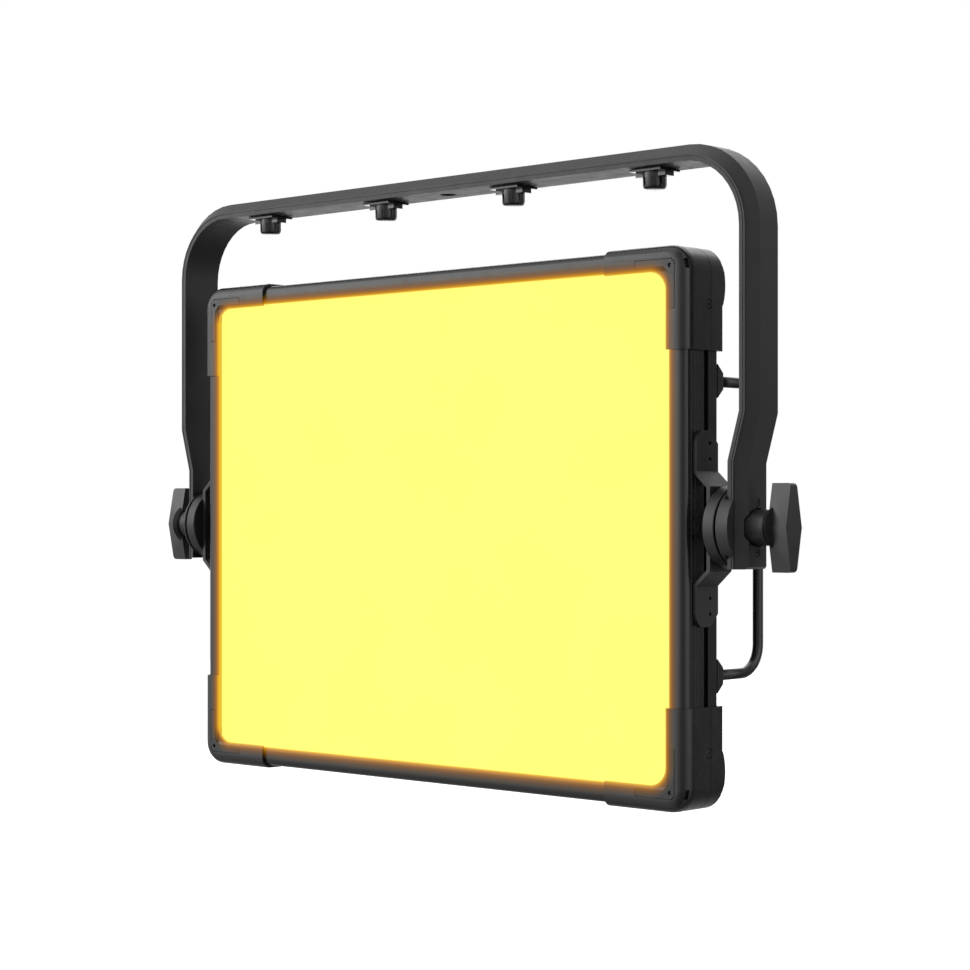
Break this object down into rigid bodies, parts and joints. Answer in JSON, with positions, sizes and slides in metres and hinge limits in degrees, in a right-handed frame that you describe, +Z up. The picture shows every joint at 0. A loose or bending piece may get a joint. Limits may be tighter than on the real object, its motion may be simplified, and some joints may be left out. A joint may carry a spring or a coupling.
{
  "type": "led panel light",
  "caption": "Rectangular LED panel light in a slotted frame with corner caps, hung in a bent yoke with tilt knobs and quarter-turn clamp sockets.",
  "frame": {"origin": "middle of the yoke's top flat, on the axis of its clamp hole", "axes": "+X to the right seen from the lit side, +Y out of the back, +Z up; the light shines along -Y"},
  "size_m": [0.5066, 0.098, 0.3663],
  "materials": {
    "yoke_paint": "black powder coat, fine texture",
    "socket_plastic": "black moulded nylon",
    "disc_plastic": "black moulded nylon, fine grain",
    "friction_rubber": "black fibre and rubber facing",
    "bright_steel": "zinc-plated, satin",
    "black_steel": "blackened steel, satin",
    "knob_plastic": "black moulded nylon, fine grain",
    "rail_anodised": "black anodised extrusion, satin",
    "cap_plastic": "black moulded plastic, fine grain",
    "insert_plastic": "black moulded plastic, smoother",
    "lit_diffuser": "opal acrylic, lit pale yellow",
    "white_reflector": "white moulded reflector",
    "led_plate": "white solder mask on an aluminium board",
    "sink_anodised": "black anodised",
    "housing_paint": "black powder coat on cast aluminium",
    "supply_case": "plain sheet metal",
    "circuit_board": "green solder mask",
    "display_glass": "dark clear window",
    "button_rubber": "black silicone",
    "connector_plastic": "black connector shell"
  },
  "bodies": {
    "yoke": {"yoke_bar": "yoke_paint", "clamp_socket_1": "socket_plastic", "clamp_socket_2": "socket_plastic", "clamp_socket_3": "socket_plastic", "clamp_socket_4": "socket_plastic", "yoke_disc_right": "disc_plastic", "yoke_disc_left": "disc_plastic", "friction_disc_right": "friction_rubber", "friction_disc_left": "friction_rubber", "pivot_boss_right": "yoke_paint", "pivot_boss_left": "yoke_paint"},
    "knob_slide_right": {"knob_washer_right": "black_steel"},
    "knob_right": {"tilt_knob_right": "knob_plastic"},
    "knob_slide_left": {"knob_washer_left": "black_steel"},
    "knob_left": {"tilt_knob_left": "knob_plastic"},
    "panel": {"pivot_bracket_right": "yoke_paint", "pivot_bracket_left": "yoke_paint", "handle_right": "yoke_paint", "handle_left": "yoke_paint", "bracket_disc_right": "disc_plastic", "bracket_disc_left": "disc_plastic", "pivot_stud_right": "bright_steel", "pivot_stud_left": "bright_steel", "safety_loop": "bright_steel", "rail_right": "rail_anodised", "rail_left": "rail_anodised", "rail_top": "rail_anodised", "rail_bottom": "rail_anodised", "cap_front_top_right": "cap_plastic", "cap_front_top_left": "cap_plastic", "cap_front_bottom_right": "cap_plastic", "cap_front_bottom_left": "cap_plastic", "cap_rear_top_right": "cap_plastic", "cap_rear_top_left": "cap_plastic", "cap_rear_bottom_right": "cap_plastic", "cap_rear_bottom_left": "cap_plastic", "handle_foot_top_right": "cap_plastic", "handle_foot_top_left": "cap_plastic", "handle_foot_bottom_right": "cap_plastic", "handle_foot_bottom_left": "cap_plastic", "corner_insert_top_right": "insert_plastic", "corner_insert_top_left": "insert_plastic", "corner_insert_bottom_right": "insert_plastic", "corner_insert_bottom_left": "insert_plastic", "diffuser": "lit_diffuser", "mixing_frame": "white_reflector", "led_board": "led_plate", "heat_sink": "sink_anodised", "rear_housing": "housing_paint", "rear_cover": "housing_paint", "power_supply": "supply_case", "driver_board": "circuit_board", "display_window": "display_glass", "power_inlet": "connector_plastic", "power_outlet": "connector_plastic", "data_in": "connector_plastic", "data_out": "connector_plastic"},
    "encoder": {"encoder_knob": "knob_plastic"},
    "menu_button": {"button_menu": "button_rubber"},
    "enter_button": {"button_enter": "button_rubber"}
  },
  "joints": [
    {"name": "panel_tilt", "type": "hinge", "parent": "yoke", "child": "panel", "pos_m": [0, 0, -0.2102], "axis": [1, 0, 0], "range_deg": [-135, 135]},
    {"name": "knob_right_travel", "type": "slide", "parent": "yoke", "child": "knob_slide_right", "axis": [1, 0, 0], "range_m": [0, 0.00299]},
    {"name": "knob_right_turn", "type": "hinge", "parent": "knob_slide_right", "child": "knob_right", "pos_m": [0, 0, -0.2102], "axis": [1, 0, 0], "range_deg": [0, 720]},
    {"name": "knob_left_travel", "type": "slide", "parent": "yoke", "child": "knob_slide_left", "axis": [-1, 0, 0], "range_m": [0, 0.00299]},
    {"name": "knob_left_turn", "type": "hinge", "parent": "knob_slide_left", "child": "knob_left", "pos_m": [0, 0, -0.2102], "axis": [-1, 0, 0], "range_deg": [0, 720]},
    {"name": "encoder_turn", "type": "hinge", "parent": "panel", "child": "encoder", "pos_m": [0.076, 0.0514, -0.161], "axis": [0, 1, 0], "continuous": true},
    {"name": "menu_press", "type": "slide", "parent": "panel", "child": "menu_button", "axis": [0, -1, 0], "range_m": [0, 0.0012], "stiffness_N_per_m": 400},
    {"name": "enter_press", "type": "slide", "parent": "panel", "child": "enter_button", "axis": [0, -1, 0], "range_m": [0, 0.0012], "stiffness_N_per_m": 400}
  ],
  "couplings": [
    {"joint": "knob_right_turn", "follows": "knob_right_travel", "rad_per_m": 4188.8},
    {"joint": "knob_left_turn", "follows": "knob_left_travel", "rad_per_m": 4188.8}
  ]
}
